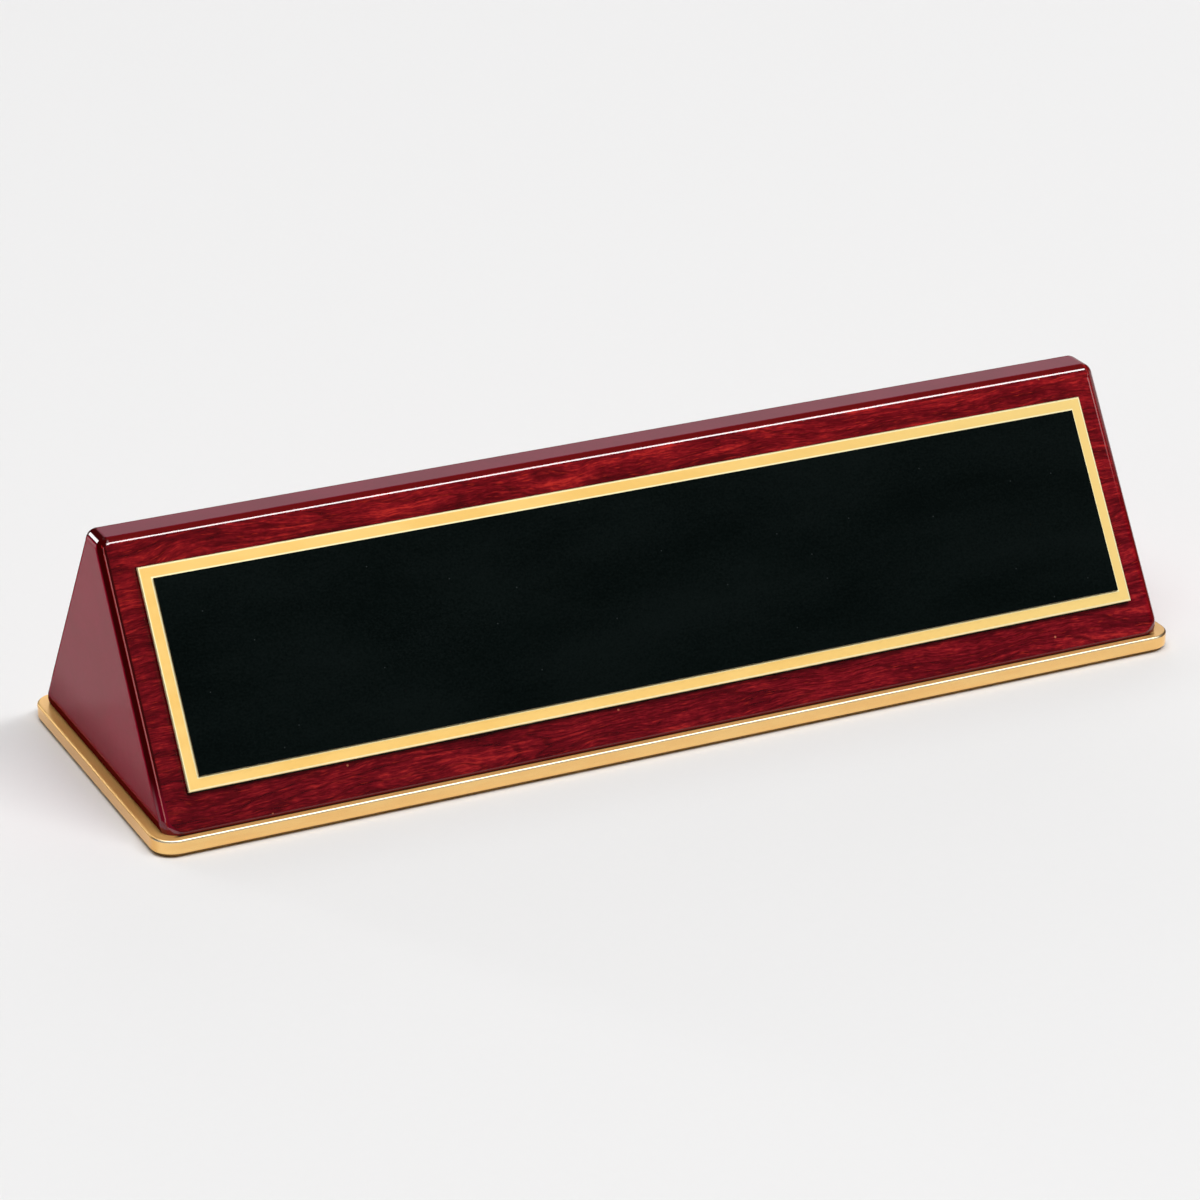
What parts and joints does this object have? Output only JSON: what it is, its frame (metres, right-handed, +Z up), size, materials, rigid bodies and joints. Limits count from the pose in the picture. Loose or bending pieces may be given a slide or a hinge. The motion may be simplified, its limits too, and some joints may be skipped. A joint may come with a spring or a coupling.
{
  "type": "desk name plate",
  "caption": "Lacquered wooden wedge on a polished gold base plate, with a blank black name panel on a gold border plate stuck to its sloping front.",
  "frame": {"origin": "middle of the felt's underside, on the desk", "axes": "+X along the plate to the reader's right, -Y out of the front towards the reader, +Z up"},
  "size_m": [0.2192, 0.0716, 0.0513],
  "materials": {
    "felt": "golden brown pressed felt",
    "screw_steel": "zinc plated",
    "polished_gold": "mirror polished gold plating",
    "lacquered_block": "dark red stain under gloss lacquer",
    "rosewood_veneer": "figured red-brown veneer under gloss lacquer",
    "adhesive_tape": "dark double-sided tape",
    "satin_gold": "fine satin gold",
    "adhesive_film": "thin adhesive film",
    "black_enamel": "black enamel with a soft sheen"
  },
  "bodies": {
    "root": {"felt_pad": "felt", "base_screws": "screw_steel", "base_plate": "polished_gold", "wedge_core": "lacquered_block", "front_veneer": "rosewood_veneer", "rear_veneer": "rosewood_veneer", "border_tape": "adhesive_tape", "border_plate": "satin_gold", "panel_tape": "adhesive_film", "name_panel": "black_enamel"}
  },
  "joints": []
}
